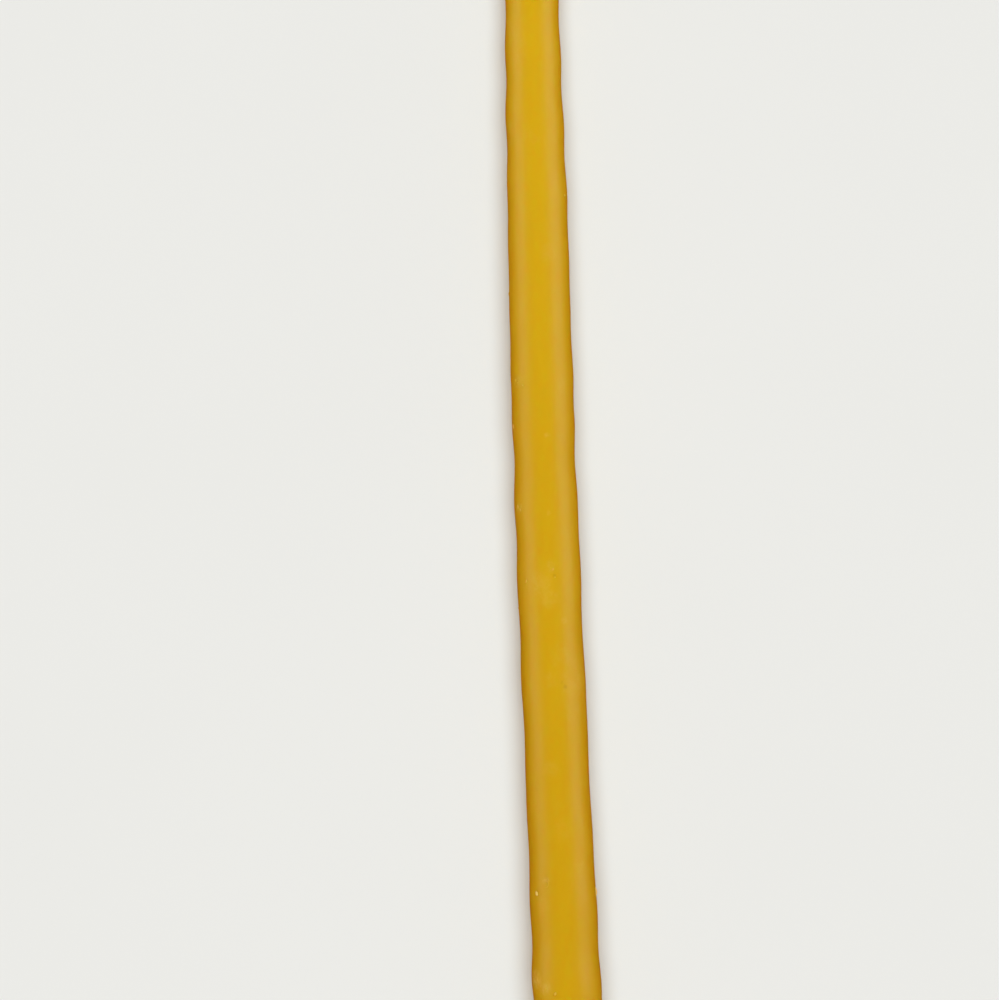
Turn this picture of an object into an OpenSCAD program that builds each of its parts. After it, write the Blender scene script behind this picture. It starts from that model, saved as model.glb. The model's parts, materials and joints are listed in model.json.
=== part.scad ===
// A thin hand-dipped taper candle, lying on its side.
// Foot at -X, wick at +X, the floor at z = 0, and the origin under the middle of the candle.

/* [Wax] */
// Length of the wax from the foot to the drawn tip
wax_len = 280; // [220:5:340]
// Length of the straight butt that goes into a holder
butt_len = 20; // [12:1:30]
// Diameter of the butt
butt_d = 9.2; // [8.8:0.1:11]
// Width of the chamfer round the foot
foot_chamfer = 0.5; // [0.2:0.1:1]
// Diameter a quarter of the way up
low_d = 8.4; // [8:0.1:8.8]
// Diameter at two fifths of the length
mid_d = 7.9; // [7.6:0.1:8.4]
// Diameter just over halfway up
upper_d = 7.6; // [7:0.1:8]
// Diameter at two thirds of the length
high_d = 6.7; // [6:0.1:7]
// Diameter of the neck, where the drawn tip begins
neck_d = 4.5; // [3.6:0.1:5.6]
// Length of the drawn tip
tip_len = 12; // [8:1:20]
// How far the candle has bowed aside by the end of its wax
bow = 7.8; // [0:0.2:12]

/* [Hand dipping] */
// Distance from one dipping ring to the next
ring_pitch = 8.9; // [7:0.1:12]
// Height of a usual ring above the hollow beside it
ring_height = 0.1; // [0:0.01:0.2]
// Length over which the rings grow from faint to strong and back
ring_beat = 60; // [40:5:100]
// How far the middle line wanders to either side
wander = 0.04; // [0:0.01:0.1]

/* [Wick] */
// Diameter of the braided wick
wick_d = 1.6; // [1.2:0.1:2]
// Length of the wick above the tip
wick_out = 14; // [8:1:20]
// How far the free end of the wick curls aside
wick_curl = 1.4; // [0:0.1:3]
// Depth of the grooves between the strands
braid_depth = 0.2; // [0.05:0.05:0.3]
// Length of one stitch of the braid
braid_pitch = 2.2; // [1.6:0.1:3.2]
// Space between the wick and the wax round it
wick_gap = 0.03; // [0.02:0.01:0.05]
// Thickness of the wax where it ends on the wick
film = 0.15; // [0.1:0.05:0.3]

/* [Hidden] */

butt_r = butt_d / 2;
wick_r = wick_d / 2;
channel_r = wick_r + wick_gap;
neck_x = wax_len - tip_len;
end_x = wax_len + wick_out;

// How much the dipped wax stands back from the pared butt
butt_step = 0.05;
// How far the dipped wax reaches into the butt
butt_lap = 2;
// Sides of the wax and of the wick, a multiple of 4 with a flat side down
sides = 20;
ring_gap = 1.6;
tip_ring_gap = 1;
core_ring_gap = 11;
braid_ring_gap = 0.4;

// Where the rings are strongest, and by what share they grow and fade
beat_x = 125;
beat_share = 0.6;
// The slow drift of the spacing: where it starts, its length, and how many rings it loses midway
drift_start = 67.5;
drift_len = 116;
drift_rings = 0.8;
// How far a ring runs ahead on one side, in degrees of its own wave, and how that side turns
ring_tilt = 35;
ring_twist = 3;
// The wander of the middle line: its length, and where it reaches furthest
wander_len = 80;
wander_x = 130;
// The rings fade in over this length from the butt, and out toward the neck
fade_len = 16;
// The candle lies on its butt, its belly and its neck, and arches a hair clear of the floor between
belly_x = wax_len * 0.4;
arch = 0.2;

// The taper: place along the candle, and radius there
stations = [
    [butt_len, butt_r - butt_step],
    [wax_len * 0.25, low_d / 2],
    [wax_len * 0.4, mid_d / 2],
    [wax_len * 0.55, upper_d / 2],
    [wax_len * 0.68, high_d / 2],
    [neck_x, neck_d / 2],
];
last = len(stations) - 1;

function clamp01(t) = min(1, max(0, t));
function ease(t) = (1 - cos(180 * clamp01(t))) / 2;

// Slope of the taper at a station: none at the butt, the neighbours' slope elsewhere
function slope(i) =
    let(a = stations[max(0, i - 1)], b = stations[min(last, i + 1)])
    i == 0 ? 0 : (b[1] - a[1]) / (b[0] - a[0]);

// The radius between two stations, on a smooth cubic
function cubic(i, x) =
    let(
        a = stations[i],
        b = stations[i + 1],
        h = b[0] - a[0],
        t = (x - a[0]) / h
    )
    a[1] * (1 + 2 * t) * pow(1 - t, 2) + slope(i) * h * t * pow(1 - t, 2)
    + b[1] * t * t * (3 - 2 * t) - slope(i + 1) * h * t * t * (1 - t);

function station_before(x) = max([for (i = [0:last - 1]) if (i == 0 || stations[i][0] <= x) i]);
function taper_r(x) = x <= butt_len ? stations[0][1] : cubic(station_before(min(x, neck_x)), min(x, neck_x));

// The drawn tip closes in a rounded shoulder and ends in a thin film on the wick
function tip_share(x) = ease((x - neck_x) / tip_len);
function body_r(x) = taper_r(x) * (1 - tip_share(x)) + (channel_r + film) * tip_share(x);

// The rings of dipping, strong and faint by turns, spaced wider toward the middle
function ring_fade(x) = ease((x - butt_len) / fade_len) * (1 - ease((x - neck_x + fade_len) / fade_len));
function ring_phase(x) =
    360 * (x - drift_start) / ring_pitch
    - 360 * drift_rings * pow(sin(180 * (x - drift_start) / drift_len), 2);
// The most that a ring stands out here, and how far it does at one angle round the candle
function ring_reach(x) =
    ring_height / 2 * ring_fade(x) * (1 + beat_share * cos(360 * (x - beat_x) / ring_beat));
function ring_wave(x, angle) =
    ring_reach(x) * cos(ring_phase(x) + ring_tilt * cos(angle - ring_twist * x));

// How far the underside is off the floor between the places that it lies on
function span_arch(x, from, to) =
    x <= from || x >= to ? 0 : arch * pow(sin(180 * (x - from) / (to - from)), 2);
function lift(x) = span_arch(x, butt_len, belly_x) + span_arch(x, belly_x, neck_x);

// The middle line bows to one side, and its height keeps the underside on the floor or just off it
function mid_y(x) =
    -bow * pow(max(0, x - butt_len) / (wax_len - butt_len), 2)
    + wander * ring_fade(x) * cos(360 * (x - wander_x) / wander_len);
function mid_z(x) =
    taper_r(x) + ring_reach(x) + lift(x)
    + butt_step * (1 - ease((x - butt_len) / fade_len));

// The wick follows the middle line, and its free end curls aside and a little up
function free(x) = clamp01((x - wax_len) / wick_out);
function wick_y(x) = mid_y(min(x, wax_len)) - free(x) * wick_out * 2 * bow / (wax_len - butt_len)
    - wick_curl * pow(free(x), 2);
function wick_z(x) = mid_z(min(x, wax_len)) + wick_curl / 3 * pow(free(x), 2);

// Stitches of the braid: bumps that stand in staggered rows round the wick
function stitch(x, angle) = (1 + cos(2 * angle) * cos(360 * (x - wax_len) / braid_pitch)) / 2;
function braid_r(x, angle) =
    wick_r - braid_depth * ease((x - wax_len) / braid_pitch) * (1 - stitch(x, angle));

// Angles of the corners, with a flat side down
function corner(k) = 360 * (k + 0.5) / sides;
// Places from one end to the other, about a gap apart
function places(from, to, gap) =
    let(n = max(1, ceil((to - from) / gap)))
    [for (i = [0:n]) from + (to - from) * i / n];

// A closed skin through rings of corners
module skin(rings) {
    n = len(rings);
    points = [for (ring = rings) each ring];
    walls = [
        for (i = [0:n - 2], k = [0:sides - 1])
            let(a = i * sides + k, b = i * sides + (k + 1) % sides)
            each [[a, a + sides, b], [b, a + sides, b + sides]]
    ];
    ends = [
        [for (k = [0:sides - 1]) k],
        [for (k = [sides - 1:-1:0]) (n - 1) * sides + k],
    ];
    polyhedron(points = points, faces = concat(walls, ends), convexity = 6);
}

// Rings of one radius along the wick's line
core_places = places(0, wax_len, core_ring_gap);
function core_rings(places, r) = [
    for (x = places)
        [for (k = [0:sides - 1]) [x, wick_y(x) + r * cos(corner(k)), wick_z(x) + r * sin(corner(k))]]
];

// The pared butt: a true cylinder with a chamfered foot
module butt() {
    translate([0, 0, butt_r])
        rotate([0, 90, 0])
            rotate_extrude($fn = 96)
                polygon([
                    [0, 0],
                    [butt_r - foot_chamfer, 0],
                    [butt_r, foot_chamfer],
                    [butt_r, butt_len],
                    [0, butt_len],
                ]);
}

// The dipped wax above the butt, with its taper, bow and rings, up to the film on the wick
module dipped_wax() {
    body_places = concat(
        places(butt_len - butt_lap, neck_x, ring_gap),
        [for (x = places(neck_x, wax_len, tip_ring_gap)) if (x > neck_x) x]
    );
    skin([
        for (x = body_places) [
            for (k = [0:sides - 1])
                let(r = body_r(x) + ring_wave(x, corner(k)))
                [x, mid_y(x) + r * cos(corner(k)), mid_z(x) + r * sin(corner(k))]
        ]
    ]);
}

// The hole that the wick fills, which runs past the foot and the tip
module wick_channel() {
    skin(core_rings(concat([-1], core_places, [wax_len + 1]), channel_r));
}

module wax_body() {
    color([0.85, 0.64, 0.11])
        to_origin()
            difference() {
                union() {
                    butt();
                    dipped_wax();
                }
                wick_channel();
            }
}

// The braided wick: a plain core inside the wax, and the stitches where it stands free
module wick() {
    color([0.92, 0.85, 0.66])
        to_origin()
            skin(concat(
                core_rings(core_places, wick_r),
                [
                    for (x = places(wax_len, end_x, braid_ring_gap)) if (x > wax_len) [
                        for (k = [0:sides - 1])
                            let(r = braid_r(x, corner(k)))
                            [x, wick_y(x) + r * cos(corner(k)), wick_z(x) + r * sin(corner(k))]
                    ]
                ]
            ));
}

// Moves the foot's frame so that the origin lies under the middle of the whole candle
reach_y = min([
    for (x = places(butt_len, neck_x, ring_gap)) mid_y(x) - body_r(x),
    for (x = places(neck_x, end_x, ring_gap)) wick_y(x) - wick_r,
]);
module to_origin() {
    translate([-end_x / 2, -(butt_r + reach_y) / 2, 0]) children();
}

wax_body();
wick();
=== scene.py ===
"""Looks of a hand-dipped beeswax taper candle that lies on a pale floor.

It makes the wax, the crumbs on it and the wick, and then the floor, the light and the camera.
"""

import json
import math
import random

import bmesh
import bpy
import numpy as np
from mathutils import Matrix, Vector


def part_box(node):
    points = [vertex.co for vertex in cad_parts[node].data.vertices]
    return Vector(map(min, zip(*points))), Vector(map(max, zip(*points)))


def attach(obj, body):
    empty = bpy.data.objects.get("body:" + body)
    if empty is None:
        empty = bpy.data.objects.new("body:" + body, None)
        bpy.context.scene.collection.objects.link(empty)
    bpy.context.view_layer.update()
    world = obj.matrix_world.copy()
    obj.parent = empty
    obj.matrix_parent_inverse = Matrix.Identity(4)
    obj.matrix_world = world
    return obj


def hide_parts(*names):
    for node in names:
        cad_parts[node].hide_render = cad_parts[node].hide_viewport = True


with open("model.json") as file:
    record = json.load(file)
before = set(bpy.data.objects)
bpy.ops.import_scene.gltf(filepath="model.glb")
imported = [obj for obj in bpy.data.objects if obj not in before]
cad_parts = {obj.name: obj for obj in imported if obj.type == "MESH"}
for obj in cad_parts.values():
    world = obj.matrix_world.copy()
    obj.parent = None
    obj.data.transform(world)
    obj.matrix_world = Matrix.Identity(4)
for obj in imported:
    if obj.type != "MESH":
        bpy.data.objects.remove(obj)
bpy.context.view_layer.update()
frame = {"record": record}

# Metres in a millimetre. Sizes below are in millimetres, and x runs from the foot toward the wick.
MM = 0.001

# What the frame gives: the ends of the wax and of the wick, and the butt's radius and axis
WAX_LOW, WAX_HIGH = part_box("wax_body")
WICK_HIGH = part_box("wick")[1]
BUTT = next(m for m in frame["record"]["mounts"] if m["name"] == "butt")
FOOT = Vector((WAX_LOW.x, BUTT["pos_m"][1], 0))
WAX_LEN = (WAX_HIGH.x - WAX_LOW.x) / MM
WICK_OUT = (WICK_HIGH.x - WAX_HIGH.x) / MM
BUTT_R = BUTT["dims"]["r_mm"]

# The straight butt, how far the dipped wax stands back from it, and the chamfer round the foot
BUTT_LEN = 20
BUTT_STEP = 0.05
FOOT_CHAMFER = 0.5
# The drawn tip, and the neck where it begins
TIP_LEN = 12
NECK_X = WAX_LEN - TIP_LEN
# How far the candle has bowed aside by the end of its wax
BOW = 7.8
# Radius a quarter of the way up, at two fifths, over halfway, at two thirds, and at the neck
LOW_R = 8.4 / 2
MID_R = 7.9 / 2
UPPER_R = 7.6 / 2
HIGH_R = 6.7 / 2
NECK_R = 4.5 / 2
# The taper: place along the candle, and radius there
STATIONS = np.array([
    (BUTT_LEN, BUTT_R - BUTT_STEP),
    (WAX_LEN * 0.25, LOW_R),
    (WAX_LEN * 0.4, MID_R),
    (WAX_LEN * 0.55, UPPER_R),
    (WAX_LEN * 0.68, HIGH_R),
    (NECK_X, NECK_R),
])

# The rings of dipping: their spacing and height, and where and by what share they grow and fade
RING_PITCH = 8.9
RING_HEIGHT = 0.1
RING_BEAT = 60
BEAT_X = 125
BEAT_SHARE = 0.6
# The slow drift of their spacing: where it starts, its length, and how many rings it loses midway
DRIFT_START = 67.5
DRIFT_LEN = 116
DRIFT_RINGS = 0.8
# How far a ring runs ahead on one side, and how far that side turns with each millimetre
RING_TILT = math.radians(35)
RING_TWIST = math.radians(3)
# The rings fade in over this length from the butt, and out toward the neck
FADE_LEN = 16
# The wander of the middle line: its reach, its length, and where it reaches furthest
WANDER = 0.04
WANDER_LEN = 80
WANDER_X = 130
# The candle lies on its butt, its belly and its neck, and arches a hair clear of the floor between
BELLY_X = WAX_LEN * 0.4
ARCH = 0.2

# Fine lumps of hand work. Each is two waves that are multiplied, and its share of the height. A
# wave has the length of one radian of it, its lobes round the candle, and where it starts.
LUMPS = (
    ((7.3, 2, 1.1), (17.9, 1, 0), 1),
    ((4.1, -3, 0.4), (11.7, -1, 2.0), 0.6),
    ((2.3, 4, 2.7), (9.1, 2, 0), 0.25),
)
LUMP_HEIGHT = 0.008

# Swells and hollows that the dipper's hand left: place from the foot, height and length
LEFT_SWELLS = (
    (67.3, 0.10, 2.6), (85.3, -0.09, 3.2), (98.1, -0.13, 3.4), (104.4, 0.08, 2.4),
    (109.4, -0.08, 2.4), (114.6, 0.07, 2.4), (134, -0.12, 2.4), (138.8, 0.06, 2.4),
    (176.9, 0.08, 2.8),
)
RIGHT_SWELLS = (
    (90.6, -0.11, 6), (104.6, 0.08, 2.4), (110.4, -0.11, 2.6), (116.5, 0.12, 2.4),
    (124.8, 0.13, 2.6), (130, -0.06, 2.4), (141.9, 0.10, 2.4), (156.5, 0.07, 2.6),
    (164.4, 0.10, 3), (181, -0.06, 3),
)
# How far round the candle a swell reaches, in radians
SWELL_TURN = 1.1

# The stretch of the candle that the photograph shows
SEEN_FROM, SEEN_TO = 62, 193
# Crumbs of wax on it: place from the foot, share of the radius to the right as seen from above,
# half length, half width and paleness
CRUMBS = (
    (78.9, -0.79, 0.34, 0.30, 1.0), (78.4, 0.985, 0.65, 0.30, 1.0),
    (66.6, -0.37, 0.24, 0.20, 0.25), (118.9, 0.12, 0.17, 0.14, 0.0),
    (117.9, 0.17, 0.12, 0.11, 0.0), (117.6, -0.72, 0.24, 0.15, 0.3),
    (126.9, -0.88, 0.30, 0.14, 0.4), (126.5, -0.82, 0.24, 0.12, 0.3),
    (136.9, -0.96, 0.32, 0.20, 0.6), (141.9, -0.63, 0.18, 0.14, 0.1),
    (142.6, -0.85, 0.20, 0.15, 0.1), (142.3, -0.79, 0.16, 0.13, 0.05),
    (165.2, 0.91, 0.20, 0.16, 0.2), (67.2, -0.62, 0.18, 0.13, 0.1),
)
# A crumb's rows and columns of points, how deep it is sunk and how high it is for its half width,
# how askew it may lie, and how uneven it is
CRUMB_ROWS = 7
CRUMB_COLUMNS = 10
CRUMB_SUNK = 0.3
CRUMB_FLAT = 0.8
CRUMB_SKEW = 0.5
CRUMB_ROUGH = (0.8, 1.15)
# The crumbs on the rest of the candle: how many, their half widths, how much longer than wide they
# are, and how far round they go, in degrees from +Y, which leaves the underside bare
CRUMBS_UNSEEN = 44
UNSEEN_WIDTHS = (0.09, 0.2)
UNSEEN_STRETCH = (1.0, 1.7)
UNSEEN_ROUND = (-50, 230)

# The curl of wax: its middle, its radius, how much longer than wide it lies, its thickness, how
# far it is off the skin, the degrees that it turns from and to, its points and sides, and the
# candle's radius there
SHAVING_X = 80.2
SHAVING_ASIDE = -0.52
SHAVING_CURL = 0.42
SHAVING_STRETCH = 1.3
SHAVING_THICK = 0.06
SHAVING_LIFT = 0.02
SHAVING_TURNS = (-60, 190)
SHAVING_STEPS = 22
SHAVING_SIDES = 8
SHAVING_SKIN_R = 4.1

# Soft pale marks on the wax: place, share of the radius to the right, size and strength
PALE_MARKS = (
    (117.2, -0.30, 2.2, 0.22), (115.4, -0.05, 1.8, 0.20), (112.5, 0.44, 0.7, 0.25),
    (68.2, -0.90, 1.5, 0.9), (67.2, -0.65, 1.2, 0.5), (80.6, -0.5, 0.7, 0.5),
    (126.7, -0.86, 0.9, 0.5), (142.4, -0.80, 1.1, 0.3), (119.2, 0.05, 1.1, 0.22),
    (158.0, 0.3, 1.5, 0.12), (94.3, -0.2, 1.3, 0.12), (136.3, -0.95, 0.8, 0.4),
    (135.5, 0.08, 0.5, 0.35), (126.0, 0.06, 0.5, 0.2),
)
DARK_MARKS = ((104.3, 0.35, 0.4, 0.35), (104.9, 0.25, 0.3, 0.15), (118.1, 0.16, 0.35, 0.25))
# The share of a mark's size within which it is at its full strength
MARK_CORE = 0.25

# The wick's channel, the hole in the foot where its cut end shows, and the film of wax on it at
# the tip
CHANNEL_R = 0.83
FOOT_HOLE_R = 0.74
FILM = 0.15
# How far the wick's free end curls aside
WICK_CURL = 1.4
# The braid: strands, their radius and sides, the circle that they wind on, how far they weave in
# and out of it, and the length of one full turn
STRANDS = 8
STRAND_R = 0.26
STRAND_SIDES = 10
STRAND_LINE_R = 0.48
STRAND_WEAVE = 0.06
BRAID_TURN = 8.8
# The core that the strands lie on
CORE_R = 0.45
CORE_SIDES = 12
# How far the strands are made up into the foot, and down into the tip
STRANDS_IN_FOOT = 4
STRANDS_IN_TIP = 2
# Loose fibres along the free wick and in the tuft at its end: how many, how far from the wick's
# middle they start, and the least and most of their length and of how they lean out
FIBRES = 34
FIBRE_START = 0.68
FIBRE_LENGTHS = (0.6, 1.5)
FIBRE_LEANS = (0.35, 0.8)
TUFT = 26
TUFT_STARTS = (0.1, 0.6)
TUFT_LENGTHS = (0.5, 1.1)
TUFT_LEANS = (0.1, 0.35)
# A fibre's radius at its root, the share of it at its tip, its points and its sides
FIBRE_R = 0.014
FIBRE_TIP = 0.4
FIBRE_STEPS = 7
FIBRE_SIDES = 5
# How far a fibre may sway aside, for its length
FIBRE_SWAY = 0.5

# A direction that no tube here runs in
ASLANT = (0.3, 0.2, 1)

# Sides of the wax
SIDES = 96
# Gaps between its rows of points: on the butt, the step above it, the dipped wax and the tip
BUTT_GAP = 0.8
STEP_GAP = 0.15
DIPPED_GAP = 0.4
TIP_GAP = 0.25
# The same for the strands and for the core
STRAND_GAP = 0.12
CORE_GAP = 2.5


def ease(t):
    return (1 - np.cos(np.pi * np.clip(t, 0, 1))) / 2


def turns(t):
    return np.cos(2 * np.pi * t)


def station_slopes():
    """Slope of the taper at each station: none at the butt, the neighbours' slope elsewhere."""
    before = STATIONS[np.r_[0, 0 : len(STATIONS) - 1]]
    after = STATIONS[np.r_[1 : len(STATIONS), len(STATIONS) - 1]]
    slopes = (after[:, 1] - before[:, 1]) / (after[:, 0] - before[:, 0])
    slopes[0] = 0
    return slopes


def taper_r(x):
    x = np.clip(x, BUTT_LEN, NECK_X)
    i = np.clip(np.searchsorted(STATIONS[:, 0], x, "right") - 1, 0, len(STATIONS) - 2)
    xa, ra = STATIONS[i, 0], STATIONS[i, 1]
    xb, rb = STATIONS[i + 1, 0], STATIONS[i + 1, 1]
    slopes = station_slopes()
    span = xb - xa
    t = (x - xa) / span
    return (
        ra * (1 + 2 * t) * (1 - t) ** 2
        + slopes[i] * span * t * (1 - t) ** 2
        + rb * t**2 * (3 - 2 * t)
        - slopes[i + 1] * span * t**2 * (1 - t)
    )


def body_r(x):
    """Radius of the wax without its rings, down to the film on the wick."""
    share = ease((x - NECK_X) / TIP_LEN)
    return taper_r(x) * (1 - share) + (CHANNEL_R + FILM) * share


def ring_fade(x):
    return ease((x - BUTT_LEN) / FADE_LEN) * (1 - ease((x - NECK_X + FADE_LEN) / FADE_LEN))


def ring_reach(x):
    """The most that a ring stands out at x."""
    return RING_HEIGHT / 2 * ring_fade(x) * (1 + BEAT_SHARE * turns((x - BEAT_X) / RING_BEAT))


def ring_wave(x, angle):
    """How far the rings of dipping stand out at x and at an angle round the candle."""
    start = x - DRIFT_START
    phase = 2 * np.pi * (start / RING_PITCH - DRIFT_RINGS * np.sin(np.pi * start / DRIFT_LEN) ** 2)
    return ring_reach(x) * np.cos(phase + RING_TILT * np.cos(angle - RING_TWIST * x))


def lump_wave(x, angle, length, lobes, start):
    return np.cos(x / length + lobes * angle + start)


def unevenness(x, angle):
    """The slight lumps of hand work, from long waves that never quite meet."""
    lumps = sum(lump_wave(x, angle, *a) * lump_wave(x, angle, *b) * share for a, b, share in LUMPS)
    return LUMP_HEIGHT * ring_fade(x) * lumps


def swells(x, angle):
    """The larger swells and hollows of either side, each fading along the candle and round it."""
    height = np.zeros_like(x * angle)
    for side, marks in ((0, LEFT_SWELLS), (np.pi, RIGHT_SWELLS)):
        round_it = np.exp(-((np.sin((angle - side) / 2) * 2 / SWELL_TURN) ** 2))
        for place, reach, length in marks:
            height += reach * np.exp(-(((x - place) / length) ** 2)) * round_it
    return height


def span_arch(x, start, end):
    """How far the underside is off the floor between two places that it lies on."""
    inside = (x > start) & (x < end)
    return np.where(inside, ARCH * np.sin(np.pi * (x - start) / (end - start)) ** 2, 0)


def mid_y(x):
    bend = -BOW * (np.maximum(0, x - BUTT_LEN) / (WAX_LEN - BUTT_LEN)) ** 2
    return bend + WANDER * ring_fade(x) * turns((x - WANDER_X) / WANDER_LEN)


def mid_z(x):
    lift = span_arch(x, BUTT_LEN, BELLY_X) + span_arch(x, BELLY_X, NECK_X)
    return taper_r(x) + ring_reach(x) + lift + BUTT_STEP * (1 - ease((x - BUTT_LEN) / FADE_LEN))


def wick_y(x):
    free = np.clip((x - WAX_LEN) / WICK_OUT, 0, 1)
    slope = 2 * BOW / (WAX_LEN - BUTT_LEN)
    return mid_y(np.minimum(x, WAX_LEN)) - free * WICK_OUT * slope - WICK_CURL * free**2


def wick_z(x):
    free = np.clip((x - WAX_LEN) / WICK_OUT, 0, 1)
    return mid_z(np.minimum(x, WAX_LEN)) + WICK_CURL / 3 * free**2


def to_frame(points):
    """Points in millimetres from the foot, to metres in the shared frame."""
    return np.asarray(points, float) * MM + np.array(FOOT)


# Meshes


def grid_faces(rows, columns, first=0):
    """Quads between rows of points that close round on themselves."""
    i, k = np.meshgrid(np.arange(rows - 1), np.arange(columns), indexing="ij")
    a = first + i * columns + k
    b = first + i * columns + (k + 1) % columns
    return np.stack([a, b, b + columns, a + columns], -1).reshape(-1, 4).tolist()


def tube_faces(rows, columns, first=0):
    """The quads of a tube, and a face at each of its ends."""
    start = list(range(first + columns - 1, first - 1, -1))
    end = list(range(first + (rows - 1) * columns, first + rows * columns))
    return grid_faces(rows, columns, first) + [start, end]


def mesh_object(name, points, faces, sharp_angle=40):
    mesh = bpy.data.meshes.new(name)
    mesh.from_pydata(to_frame(points).tolist(), [], faces)
    shell = bmesh.new()
    shell.from_mesh(mesh)
    bmesh.ops.recalc_face_normals(shell, faces=shell.faces)
    shell.to_mesh(mesh)
    shell.free()
    mesh.shade_smooth()
    mesh.set_sharp_from_angle(angle=math.radians(sharp_angle))
    thing = bpy.data.objects.new(name, mesh)
    bpy.context.scene.collection.objects.link(thing)
    return thing


def join_tubes(tubes):
    """One list of points and one of faces, for tubes given as arrays of rows, columns and xyz."""
    points, faces, first = [], [], 0
    for tube in tubes:
        rows, columns = tube.shape[:2]
        points.append(tube.reshape(-1, 3))
        faces += tube_faces(rows, columns, first)
        first += rows * columns
    return np.concatenate(points), faces


def places(start, end, gap):
    """Places from start to end, about a gap apart."""
    return np.linspace(start, end, max(2, math.ceil((end - start) / gap) + 1))


def wax_profile():
    """Places along the wax and the radius at each.

    They run from the hole in the foot, out over the foot and its rounded edge, and along the
    candle to where the wax creeps up the wick.
    """
    hole = [(0.2, 0.3), (0.18, FOOT_HOLE_R - 0.04), (0.04, FOOT_HOLE_R), (0, FOOT_HOLE_R + 0.05)]
    flat_r = BUTT_R - FOOT_CHAMFER - 0.2
    face = [(0, r) for r in np.linspace(1.3, flat_r, 6)]
    edge = [
        (FOOT_CHAMFER * (1 - math.cos(a)), BUTT_R - FOOT_CHAMFER * (1 - math.sin(a)))
        for a in np.linspace(0, np.pi / 2, 6)
    ]
    butt = [(x, BUTT_R) for x in places(FOOT_CHAMFER + 0.4, BUTT_LEN - 0.3, BUTT_GAP)]
    step = [
        (x, BUTT_R - BUTT_STEP * ease((x - BUTT_LEN + 0.3) / 0.9))
        for x in places(BUTT_LEN - 0.15, BUTT_LEN + 0.6, STEP_GAP)
    ]
    dipped = [(x, body_r(x)) for x in places(BUTT_LEN + 0.9, NECK_X, DIPPED_GAP)]
    tip = [(x, body_r(x)) for x in places(NECK_X + TIP_GAP, WAX_LEN, TIP_GAP)]
    creep = [
        (WAX_LEN + 0.4, CHANNEL_R + 0.08),
        (WAX_LEN + 0.9, CHANNEL_R + 0.03),
        (WAX_LEN + 1.1, CHANNEL_R),
        (WAX_LEN + 1.25, 0.4),
    ]
    return np.array(hole + face + edge + butt + step + dipped + tip + creep)


def hand_work(x, angle):
    """How far the skin stands out from the plain taper: rings, lumps and swells."""
    return ring_wave(x, angle) + unevenness(x, angle) + swells(x, angle)


def make_wax():
    """The wax: its pared foot, the taper with its dipping rings, and the drawn tip."""
    x, r = wax_profile().T
    angle = 2 * np.pi * (np.arange(SIDES) + 0.5) / SIDES
    along, around = np.meshgrid(x, angle, indexing="ij")
    radius = r[:, None] + hand_work(along, around)
    y = wick_y(along) + radius * np.cos(around)
    z = np.maximum(0, wick_z(along) + radius * np.sin(around))
    points, faces = join_tubes([np.stack([along, y, z], -1)])
    return mesh_object("wax_skin", points, faces)


def on_skin(x, angle, out=0.0):
    """A point on the wax, at an angle round it: 0 toward +Y, and a right angle for straight up."""
    r = body_r(x) + hand_work(x, angle) + out
    return np.array([x, mid_y(x) + r * np.cos(angle), mid_z(x) + r * np.sin(angle)])


def to_angle(aside):
    """The angle round the candle of a place that lies aside to the right, seen from above."""
    return math.acos(-aside)


def crumb(x, angle, half_length, half_width, dice):
    """A rough little lump that is partly sunk in the wax."""
    centre = on_skin(x, angle, -CRUMB_SUNK * half_width)
    out = np.array([0, math.cos(angle), math.sin(angle)])
    round_it = np.array([0, -math.sin(angle), math.cos(angle)])
    skew = dice.uniform(-CRUMB_SKEW, CRUMB_SKEW)
    ahead = np.array([1, 0, 0]) + skew * round_it
    polar = np.pi * (np.arange(CRUMB_ROWS) + 0.5) / CRUMB_ROWS
    turn = 2 * np.pi * np.arange(CRUMB_COLUMNS) / CRUMB_COLUMNS
    rough = np.array([[dice.uniform(*CRUMB_ROUGH) for _ in turn] for _ in polar])[..., None]
    thick = np.sin(polar)[:, None, None] * half_width * rough
    spokes = round_it * np.cos(turn)[:, None] + CRUMB_FLAT * out * np.sin(turn)[:, None]
    return centre + half_length * np.cos(polar)[:, None, None] * ahead + thick * spokes


def shaving():
    """A thin curl of wax that lies on the skin and thins out toward both its ends."""
    turn = np.radians(np.linspace(*SHAVING_TURNS, SHAVING_STEPS))
    angle = to_angle(SHAVING_ASIDE) + SHAVING_CURL / SHAVING_SKIN_R * np.sin(turn)
    path = np.array([
        on_skin(SHAVING_X + SHAVING_STRETCH * SHAVING_CURL * math.cos(t), a, SHAVING_LIFT)
        for t, a in zip(turn, angle)
    ])
    radius = SHAVING_THICK * np.sin(np.linspace(0.15, 3.0, SHAVING_STEPS))
    return tube_along(path, radius, SHAVING_SIDES)


def make_crumbs():
    """Crumbs where the photograph shows them, and others strewn over the rest of the candle."""
    dice = random.Random(7)
    lumps = [crumb(x, to_angle(aside), long, wide, dice) for x, aside, long, wide, _ in CRUMBS]
    while len(lumps) < len(CRUMBS) + CRUMBS_UNSEEN:
        x = dice.uniform(BUTT_LEN + 2, NECK_X - 4)
        angle = math.radians(dice.uniform(*UNSEEN_ROUND))
        if SEEN_FROM < x < SEEN_TO and math.sin(angle) > 0:
            continue
        wide = dice.uniform(*UNSEEN_WIDTHS)
        lumps.append(crumb(x, angle, wide * dice.uniform(*UNSEEN_STRETCH), wide, dice))
    points, faces = join_tubes(lumps + [shaving()])
    return mesh_object("wax_crumbs", points, faces, sharp_angle=70)


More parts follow.
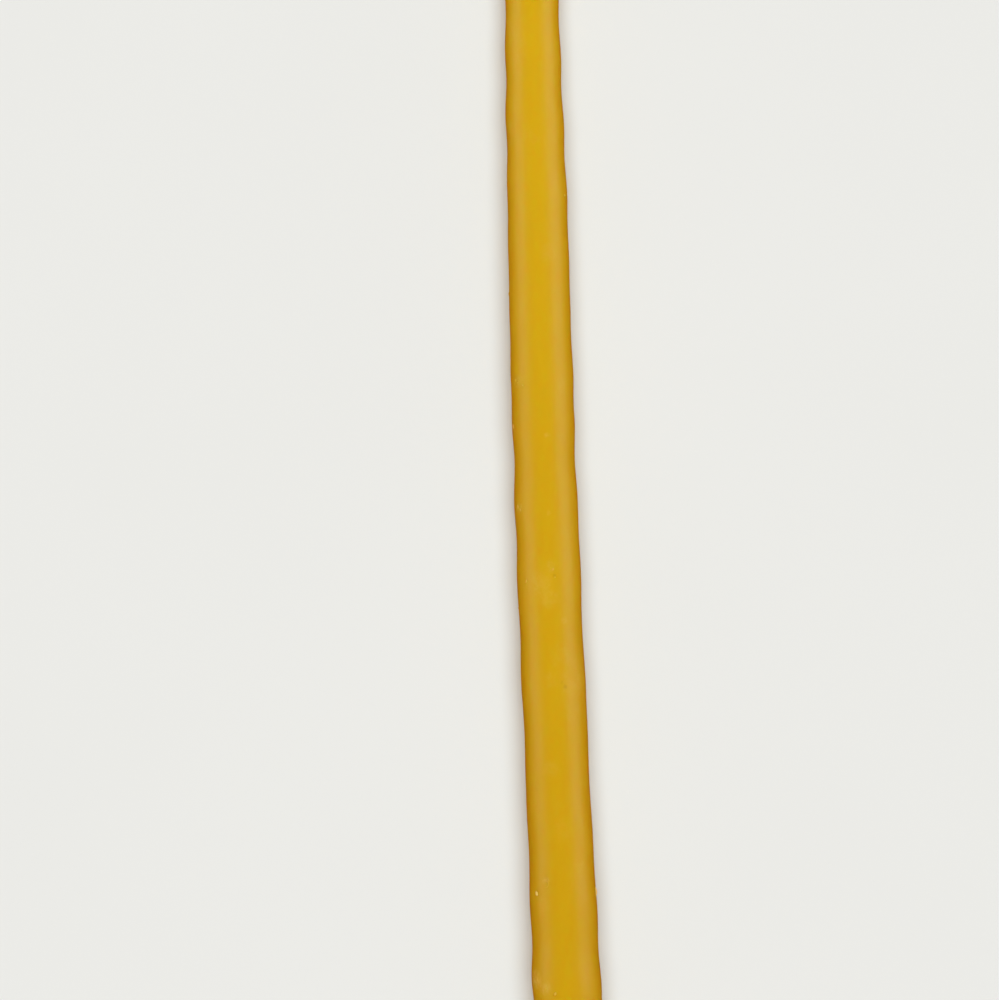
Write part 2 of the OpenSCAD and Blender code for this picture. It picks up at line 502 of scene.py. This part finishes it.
def across_wick(x):
    """The wick's middle line at each x, and the two directions across it."""
    middle = np.stack([x, wick_y(x), wick_z(x)], -1)
    ahead = np.gradient(middle, axis=0)
    ahead /= np.linalg.norm(ahead, axis=1, keepdims=True)
    side = np.cross([0, 0, 1], ahead)
    side /= np.linalg.norm(side, axis=1, keepdims=True)
    return middle, side, np.cross(ahead, side)


def tube_along(path, radius, columns):
    """A tube round a path of points, with one radius or one for each point."""
    ahead = np.gradient(path, axis=0)
    ahead /= np.linalg.norm(ahead, axis=1, keepdims=True)
    across = np.cross(ahead, ASLANT)
    across /= np.linalg.norm(across, axis=1, keepdims=True)
    up = np.cross(ahead, across)
    a = 2 * np.pi * np.arange(columns) / columns
    spokes = across[:, None] * np.cos(a)[:, None] + up[:, None] * np.sin(a)[:, None]
    return path[:, None] + spokes * np.reshape(radius, (-1, 1, 1))


def strand(x, number):
    """One strand of a round braid: half of them wind each way, over one and under the next."""
    middle, side, up = across_wick(x)
    each_way = STRANDS / 2
    forward = number % 2 == 0
    way = 1 if forward else -1
    start = (number // 2) / each_way + (0 if forward else 1 / STRANDS)
    turn = start + way * x / BRAID_TURN
    over = way * STRAND_WEAVE * turns(each_way * (x / BRAID_TURN - 1 / (2 * STRANDS)))
    reach = (STRAND_LINE_R + over)[:, None]
    a = 2 * np.pi * turn[:, None]
    path = middle + reach * (side * np.cos(a) + up * np.sin(a))
    return tube_along(path, STRAND_R, STRAND_SIDES)


def make_wick():
    """The core, and the braid round it where it can be seen: at the foot, and from the tip on."""
    wick_end = WAX_LEN + WICK_OUT
    core_x = places(0.08, wick_end - 0.2, CORE_GAP)
    core = np.stack([core_x, wick_y(core_x), wick_z(core_x)], -1)
    tubes = [tube_along(core, CORE_R, CORE_SIDES)]
    for start, end in ((0.02, STRANDS_IN_FOOT), (WAX_LEN - STRANDS_IN_TIP, wick_end)):
        x = places(start, end, STRAND_GAP)
        tubes += [strand(x, number) for number in range(STRANDS)]
    points, faces = join_tubes(tubes + fuzz())
    return mesh_object("wick_braid", points, faces, sharp_angle=60)


def fuzz():
    """Loose cotton fibres: some along the free wick, and a frayed tuft at its cut end."""
    dice = random.Random(11)
    wick_end = WAX_LEN + WICK_OUT
    hairs = []
    for number in range(FIBRES + TUFT):
        in_tuft = number >= FIBRES
        x = wick_end - 0.3 if in_tuft else dice.uniform(WAX_LEN + 3, wick_end - 0.5)
        reach = dice.uniform(*TUFT_STARTS) if in_tuft else FIBRE_START
        length = dice.uniform(*(TUFT_LENGTHS if in_tuft else FIBRE_LENGTHS))
        turn = dice.uniform(0, 2 * math.pi)
        out = np.array([0, math.cos(turn), math.sin(turn)])
        sway = dice.uniform(-FIBRE_SWAY, FIBRE_SWAY)
        aside = np.array([0, -math.sin(turn), math.cos(turn)]) * sway
        root = np.array([x, wick_y(x), wick_z(x)]) + reach * out
        t = np.linspace(0, 1, FIBRE_STEPS)[:, None]
        lean = dice.uniform(*(TUFT_LEANS if in_tuft else FIBRE_LEANS))
        ahead = t * np.array([1, 0, 0]) * (1 - lean / 2)
        path = root + length * (ahead + lean * t * out + aside * t**2 * 0.5)
        path[:, 0] = np.minimum(path[:, 0], wick_end + 0.3)
        radius = FIBRE_R * np.linspace(1, FIBRE_TIP, FIBRE_STEPS)
        hairs.append(tube_along(path, radius, FIBRE_SIDES))
    return hairs


# Materials

# The colour sockets of a Mix node: its two inputs and its output
MIX_FIRST, MIX_SECOND, MIX_RESULT = 6, 7, 2


class Nodes:
    """A material's node tree, with a short way to add a node and to set or join its sockets."""

    def __init__(self, name):
        self.material = bpy.data.materials.new(name)
        self.material.use_nodes = True
        self.tree = self.material.node_tree
        self.tree.nodes.clear()

    def add(self, kind, sockets=None, **settings):
        node = self.tree.nodes.new(kind)
        for key, value in settings.items():
            setattr(node, key, value)
        for key, value in (sockets or {}).items():
            self.set(node.inputs[key], value)
        return node

    def set(self, socket, value):
        if isinstance(value, bpy.types.NodeSocket):
            self.tree.links.new(value, socket)
        else:
            socket.default_value = value

    def math(self, operation, a, b=0.0):
        return self.add("ShaderNodeMath", {0: a, 1: b}, operation=operation).outputs[0]

    def vector(self, operation, *values):
        return self.add("ShaderNodeVectorMath", dict(enumerate(values)), operation=operation)

    def position(self, stretch=(1, 1, 1)):
        """The place on the object in millimetres, squeezed along each axis by stretch."""
        place = self.add("ShaderNodeTexCoord").outputs["Object"]
        per_mm = [s / MM for s in stretch]
        return self.vector("MULTIPLY", place, per_mm).outputs[0]

    def along(self):
        """How far along the candle from its foot, in millimetres."""
        place = self.add("ShaderNodeSeparateXYZ", {0: self.position()}).outputs[0]
        return self.math("SUBTRACT", place, FOOT.x / MM)

    def noise(self, place, scale, detail=2.0, roughness=0.5):
        """Soft noise round a half, with about as many grains in a millimetre as scale says."""
        sockets = {"Vector": place, "Scale": scale, "Detail": detail, "Roughness": roughness}
        return self.add("ShaderNodeTexNoise", sockets).outputs["Fac"]

    def spread(self, value, low, high, to_low=0.0, to_high=1.0):
        """The value eased from to_low, where it is low, to to_high, where it is high."""
        sockets = {"Value": value, "From Min": low, "From Max": high}
        sockets |= {"To Min": to_low, "To Max": to_high}
        node = self.add("ShaderNodeMapRange", sockets, interpolation_type="SMOOTHSTEP")
        return node.outputs["Result"]

    def ragged(self, place, reach, scale):
        """The place moved a little here and there, so that marks laid on it get ragged edges."""
        sockets = {"Vector": place, "Scale": scale, "Detail": 3.0}
        shift = self.add("ShaderNodeTexNoise", sockets).outputs["Color"]
        shift = self.vector("SUBTRACT", shift, (0.5, 0.5, 0.5)).outputs[0]
        both_ways = (2 * reach, 2 * reach, 2 * reach)
        return self.vector("MULTIPLY_ADD", shift, both_ways, place).outputs[0]

    def marks(self, place, marks):
        """How strongly a list of soft round marks on the wax shows at a place."""
        total = 0.0
        for x, aside, size, strength in marks:
            middle = Vector(to_frame(on_skin(x, to_angle(aside)))) / MM
            away = self.vector("DISTANCE", place, middle).outputs["Value"]
            shown = self.spread(away, MARK_CORE * size, size, to_low=strength, to_high=0.0)
            total = self.math("MAXIMUM", total, shown)
        return total

    def mix(self, share, a, b):
        node = self.add("ShaderNodeMix", data_type="RGBA")
        self.set(node.inputs["Factor"], share)
        self.set(node.inputs[MIX_FIRST], a)
        self.set(node.inputs[MIX_SECOND], b)
        return node.outputs[MIX_RESULT]

    def bump(self, height, depth, normal=None):
        """The normal bent by a height from 0 to 1, for a relief of a depth in millimetres."""
        sockets = {"Height": height, "Distance": depth * MM, "Strength": 1.0}
        if normal is not None:
            sockets["Normal"] = normal
        return self.add("ShaderNodeBump", sockets).outputs["Normal"]

    def finish(self, sockets):
        shader = self.add("ShaderNodeBsdfPrincipled", sockets)
        output = self.add("ShaderNodeOutputMaterial")
        self.tree.links.new(shader.outputs["BSDF"], output.inputs["Surface"])
        return self.material


def colour(r, g, b):
    return (r, g, b, 1)


# The wax: lower down, higher up, where it has bloomed pale, and in its dark specks
# Painted light: the wax is painted darker toward the foot and lighter toward the wick
WAX_FOOTWARD_PAINTED_DIM = colour(0.638, 0.412, 0.0085)
WAX_WICKWARD_PAINTED_LIT = colour(0.702, 0.477, 0.0113)
WAX_BLOOM = colour(0.80, 0.61, 0.145)
WAX_DARK = colour(0.45, 0.24, 0.008)
# The dullest and the brightest crumbs
CRUMB_DULL = colour(0.74, 0.53, 0.03)
CRUMB_BRIGHT = colour(0.97, 0.70, 0.27)
# The grooves and the ridges between the wick's fibres, where it is steeped in wax and where dry
STEEPED = (colour(0.56, 0.32, 0.03), colour(0.74, 0.45, 0.06))
DRY = (colour(0.74, 0.54, 0.24), colour(0.95, 0.77, 0.44))
# The floor, darkest and lightest, which is neutral in this light
FLOOR = (colour(0.785, 0.775, 0.765), colour(0.805, 0.795, 0.785))

# What all the wax has in common. The coat stands for the clear wax at the surface, which is
# darker and warmer to look through at a slant.
WAX_SHEEN = {
    "Specular IOR Level": 0.3,
    "Subsurface Weight": 1.0,
    "Coat Weight": 0.7,
    "Coat Roughness": 0.45,
    "Coat IOR": 1.02,
    "Coat Tint": colour(1.0, 0.857, 0.64),
}


def wax_material():
    """Beeswax with painted light toward the wick, mottles, bloom, specks and a fine relief."""
    n = Nodes("beeswax")
    place = n.position()
    along = n.along()
    mottle = n.noise(place, scale=0.09, detail=3)
    # Painted light: the wax is painted lighter toward the wick, and the mottle is the wax's own
    # tone
    painted_light_rise = n.spread(along, 40, 215, to_low=-0.15, to_high=0.85)
    tint = n.mix(n.math("ADD", painted_light_rise, n.math("MULTIPLY", mottle, 0.3)), WAX_FOOTWARD_PAINTED_DIM, WAX_WICKWARD_PAINTED_LIT)

    haze = n.noise(n.position((0.6, 1, 1)), scale=0.22, detail=5, roughness=0.6)
    haze = n.spread(haze, 0.56, 0.75, to_high=0.18)
    bloom = n.math("MAXIMUM", haze, n.marks(n.ragged(place, reach=0.5, scale=1.1), PALE_MARKS))
    foot_face = n.spread(along, 0.1, 0.4, to_low=1, to_high=0)
    dusty = n.spread(n.noise(place, scale=0.7, detail=4), 0.3, 0.7, to_low=0.15, to_high=0.6)
    bloom = n.math("MAXIMUM", bloom, n.math("MULTIPLY", foot_face, dusty))
    streaks = n.noise(n.ragged(place, reach=0.3, scale=2), scale=1.6, detail=4, roughness=0.6)
    streaks = n.spread(streaks, 0.35, 0.65, to_low=0.3)
    tint = n.mix(n.math("MULTIPLY", bloom, streaks), tint, WAX_BLOOM)

    specks = n.marks(n.ragged(place, reach=0.15, scale=3), DARK_MARKS)
    tint = n.mix(n.math("MAXIMUM", specks, n.math("MULTIPLY", foot_face, 0.1)), tint, WAX_DARK)

    skin = n.noise(place, scale=1.4, detail=4, roughness=0.6)
    relief = n.bump(skin, depth=0.006)
    drawn = n.noise(n.position((0.12, 1, 1)), scale=2.2, detail=3, roughness=0.55)
    relief = n.bump(drawn, depth=0.004, normal=relief)
    cuts = n.noise(n.position((1, 0.1, 1.4)), scale=3.5, detail=3)
    relief = n.bump(n.math("MULTIPLY", foot_face, cuts), depth=0.05, normal=relief)
    rough = n.spread(n.noise(place, scale=0.5, detail=3), 0.3, 0.7, to_low=0.34, to_high=0.46)
    return n.finish(WAX_SHEEN | {
        "Base Color": tint,
        "Roughness": rough,
        "Normal": relief,
        "Subsurface Radius": (0.8, 0.4, 0.2),
        "Subsurface Scale": 1 * MM,
    })


def crumb_material():
    """Crumbs as pale as the photograph shows them, and the others a little paler here and there."""
    n = Nodes("wax_crumb")
    place = n.position()
    # A mark that is as pale as its crumb and wider than it, so that it paints all of it
    paleness = n.marks(place, [(x, aside, 5 * long, pale) for x, aside, long, _, pale in CRUMBS])
    elsewhere = n.spread(n.noise(place, scale=0.35, detail=1), 0.45, 0.6, to_high=0.2)
    paleness = n.math("MAXIMUM", paleness, elsewhere)
    cloud = n.spread(n.noise(place, scale=4), 0.3, 0.7, to_low=-0.1, to_high=0.1)
    rough = n.spread(n.noise(place, scale=3), 0.3, 0.7, to_low=0.4, to_high=0.55)
    return n.finish(WAX_SHEEN | {
        "Base Color": n.mix(n.math("ADD", paleness, cloud), CRUMB_DULL, CRUMB_BRIGHT),
        "Roughness": rough,
        "Normal": n.bump(n.noise(place, scale=8, detail=3), depth=0.02),
        "Subsurface Radius": (1.0, 0.7, 0.4),
        "Subsurface Scale": 0.08 * MM,
    })


def wick_material():
    """Cotton that is steeped in wax near the tip and drier toward its cut ends."""
    n = Nodes("waxed_cotton")
    place = n.position()
    fibres = n.noise(n.position((0.25, 1, 1)), scale=9, detail=4, roughness=0.6)
    along = n.along()
    toward_end = n.spread(along, WAX_LEN - 2, WAX_LEN + 13)
    at_foot = n.spread(along, 0.3, 1, to_low=0.8, to_high=0)
    patches = n.spread(n.noise(place, scale=0.8), 0.3, 0.7, to_low=-0.15, to_high=0.15)
    dryness = n.math("ADD", n.math("ADD", toward_end, at_foot), patches)
    rough = n.spread(n.noise(place, scale=2), 0.3, 0.7, to_low=0.45, to_high=0.7)
    return n.finish({
        "Base Color": n.mix(dryness, n.mix(fibres, *STEEPED), n.mix(fibres, *DRY)),
        "Roughness": rough,
        "Normal": n.bump(fibres, depth=0.03),
        "Subsurface Weight": 0.4,
        "Subsurface Radius": (1.0, 0.8, 0.5),
        "Subsurface Scale": 0.3 * MM,
    })


def floor_material():
    n = Nodes("pale_floor")
    tint = n.mix(n.noise(n.position(), scale=0.02), *FLOOR)
    return n.finish({"Base Color": tint, "Roughness": 0.9, "Specular IOR Level": 0.0})


def dress(thing, material, slot, *nodes):
    thing.data.materials.append(material)
    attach(thing, "root")
    if nodes:
        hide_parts(*nodes)


# The camera, over the candle, where the photograph has it. The photograph gives the column of the
# candle's middle line halfway up the picture, in pixels, and how far the candle leans there. The
# scale, and the place along the candle that is halfway up, follow from its thickness there.
PHOTO_WIDE, PHOTO_HIGH = 999, 1000
MM_PER_PIXEL = 0.125
MIDDLE_ROW_X = 127.5
CANDLE_COLUMN = 545.9
CANDLE_LEAN = math.radians(2.07)
LENS = 100
SENSOR = 36


def make_camera():
    """Looks straight down, with the wick's end up the picture and leaning a little to the left."""
    slope = math.atan(2 * BOW * (MIDDLE_ROW_X - BUTT_LEN) / (WAX_LEN - BUTT_LEN) ** 2)
    roll = slope + CANDLE_LEAN
    up = Vector((math.cos(roll), -math.sin(roll), 0))
    right = Vector((-math.sin(roll), -math.cos(roll), 0))
    back = Vector((0, 0, 1))
    x = np.array([MIDDLE_ROW_X])
    on_candle = Vector(to_frame([[MIDDLE_ROW_X, mid_y(x)[0], mid_z(x)[0]]])[0])
    aim = on_candle - right * (CANDLE_COLUMN - PHOTO_WIDE / 2) * MM_PER_PIXEL * MM
    distance = PHOTO_HIGH * MM_PER_PIXEL * MM * LENS / SENSOR
    data = bpy.data.cameras.new("camera")
    data.lens = LENS
    data.sensor_width = SENSOR
    data.clip_start = 0.01
    camera = bpy.data.objects.new("camera", data)
    bpy.context.scene.collection.objects.link(camera)
    axes = Matrix((right, up, back)).transposed().to_4x4()
    camera.matrix_world = Matrix.Translation(aim + back * distance) @ axes
    bpy.context.scene.camera = camera


# The stage and the light, in metres. The overhead light is a little cool and the fill from all
# round is warm, as wax nearby would make it. Together they are neutral on the floor.
FLOOR_R = 4
FLOOR_SIDES = 96
# What the camera sees past the floor
BACKDROP = colour(0.84, 0.848, 0.808)
FILL_COLOUR = colour(1, 0.55, 0.2)
FILL_STRENGTH = 0.3
KEY_TILT = math.radians(2)
KEY_SPREAD = math.radians(56)
KEY_STRENGTH = 2.43
KEY_COLOUR = (0.97, 1.16, 1.26)
# The softboxes: how far off, how far past the candle's middle toward the wick, and how long
SOFTBOX_DISTANCE = 1.0
SOFTBOX_AHEAD = 0.9
SOFTBOX_LENGTH = 2.4


def add_light(name, kind, place):
    light = bpy.data.objects.new(name, bpy.data.lights.new(name, kind))
    bpy.context.scene.collection.objects.link(light)
    light.matrix_world = place
    light.visible_camera = False
    return light


def overhead_light():
    """A broad soft light from above, tilted toward -Y, that falls alike on the whole floor."""
    light = add_light("overhead", "SUN", Matrix.Rotation(KEY_TILT, 4, "X"))
    light.data.angle = KEY_SPREAD
    light.data.energy = KEY_STRENGTH
    light.data.color = KEY_COLOUR
    light.visible_glossy = False


def sheen_light(name, angle, width, radiance, tint):
    """A long softbox beside the candle and past its tip, seen only in its sheen.

    The angle turns it from straight up toward -Y.
    """
    place = Matrix.Rotation(angle, 4, "X")
    place = place @ Matrix.Translation((SOFTBOX_AHEAD, 0, SOFTBOX_DISTANCE))
    light = add_light(name, "AREA", place)
    light.data.shape = "RECTANGLE"
    light.data.size = SOFTBOX_LENGTH
    light.data.size_y = width
    light.data.energy = radiance * math.pi * SOFTBOX_LENGTH * width
    light.data.color = tint
    light.visible_diffuse = False


def make_lights():
    overhead_light()
    sheen_light("left_side", -math.radians(72), width=0.75, radiance=1.7, tint=(0.85, 0.95, 1.1))
    sheen_light("right_side", math.radians(69), width=0.8, radiance=2.0, tint=(0.75, 0.95, 1.2))


def make_world():
    """Pale to the camera, and a dim warm fill to everything else."""
    world = bpy.data.worlds.new("studio")
    bpy.context.scene.world = world
    world.cycles_visibility.glossy = False
    world.use_nodes = True
    tree = world.node_tree
    tree.nodes.clear()
    seen = tree.nodes.new("ShaderNodeBackground")
    seen.inputs["Color"].default_value = BACKDROP
    fill = tree.nodes.new("ShaderNodeBackground")
    fill.inputs["Color"].default_value = FILL_COLOUR
    fill.inputs["Strength"].default_value = FILL_STRENGTH
    ray = tree.nodes.new("ShaderNodeLightPath")
    mix = tree.nodes.new("ShaderNodeMixShader")
    output = tree.nodes.new("ShaderNodeOutputWorld")
    tree.links.new(ray.outputs["Is Camera Ray"], mix.inputs[0])
    tree.links.new(fill.outputs[0], mix.inputs[1])
    tree.links.new(seen.outputs[0], mix.inputs[2])
    tree.links.new(mix.outputs[0], output.inputs["Surface"])


def make_floor():
    bpy.ops.mesh.primitive_circle_add(
        vertices=FLOOR_SIDES, radius=FLOOR_R, fill_type="TRIFAN", location=(0, 0, 0)
    )
    floor = bpy.context.object
    floor.name = "floor"
    floor.data.materials.append(floor_material())
    floor.visible_glossy = False


make_camera()
make_floor()
make_world()
make_lights()
dress(make_wax(), wax_material(), "wax", "wax_body")
dress(make_crumbs(), crumb_material(), "wax")
dress(make_wick(), wick_material(), "wick", "wick")

view = bpy.context.scene.view_settings
view.view_transform = "Standard"
view.look = "None"
